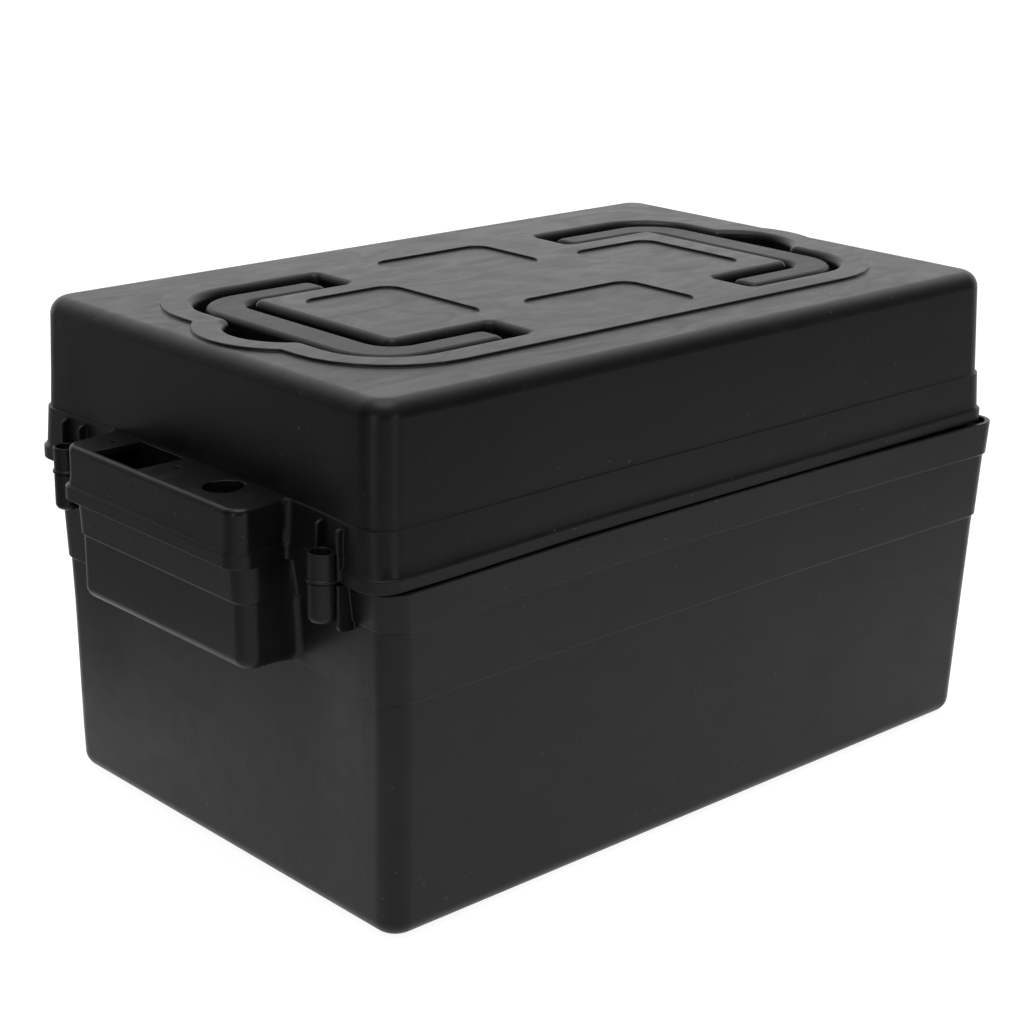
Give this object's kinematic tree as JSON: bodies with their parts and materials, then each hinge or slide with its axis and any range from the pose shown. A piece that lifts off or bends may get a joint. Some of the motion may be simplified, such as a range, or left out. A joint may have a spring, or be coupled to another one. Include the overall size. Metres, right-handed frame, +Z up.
{
  "type": "battery box",
  "caption": "Deep moulded battery box with a lift-off cover, two drop handles in its top and a wiring chamber on one end.",
  "frame": {"origin": "centre of the tub's flat underside", "axes": "+Z up, +X along the length away from the wiring chamber, +Y across the width, -Y being the long side nearest a viewer who has the chamber on the left"},
  "size_m": [0.4569, 0.2679, 0.2464],
  "materials": {
    "box_plastic": "fine moulded satin, black",
    "handle_plastic": "moulded satin, black",
    "seal_rubber": "foam rubber, black",
    "steel": "zinc plated",
    "brass": "turned"
  },
  "bodies": {
    "tub": {"base_tub": "box_plastic", "rim_gasket": "seal_rubber", "base_insert_1": "brass", "base_insert_2": "brass", "base_insert_3": "brass", "base_insert_4": "brass"},
    "cover": {"cover_shell": "box_plastic", "left_near_pin": "steel", "left_far_pin": "steel", "right_near_pin": "steel", "right_far_pin": "steel", "seal_washer_1": "seal_rubber", "seal_washer_2": "seal_rubber", "seal_washer_3": "seal_rubber", "seal_washer_4": "seal_rubber", "cover_screw_1": "steel", "cover_screw_2": "steel", "cover_screw_3": "steel", "cover_screw_4": "steel"},
    "left_drop_handle": {"left_handle": "handle_plastic"},
    "right_drop_handle": {"right_handle": "handle_plastic"}
  },
  "joints": [
    {"name": "cover_lift", "type": "slide", "parent": "tub", "child": "cover", "axis": [0, 0, 1], "range_m": [0, 0.2]},
    {"name": "left_handle_swing", "type": "hinge", "parent": "cover", "child": "left_drop_handle", "pos_m": [-0.0928, 0.0027, 0.2387], "axis": [0, 1, 0], "range_deg": [0, 95]},
    {"name": "right_handle_swing", "type": "hinge", "parent": "cover", "child": "right_drop_handle", "pos_m": [0.0872, 0.0027, 0.2387], "axis": [0, -1, 0], "range_deg": [0, 95]}
  ]
}
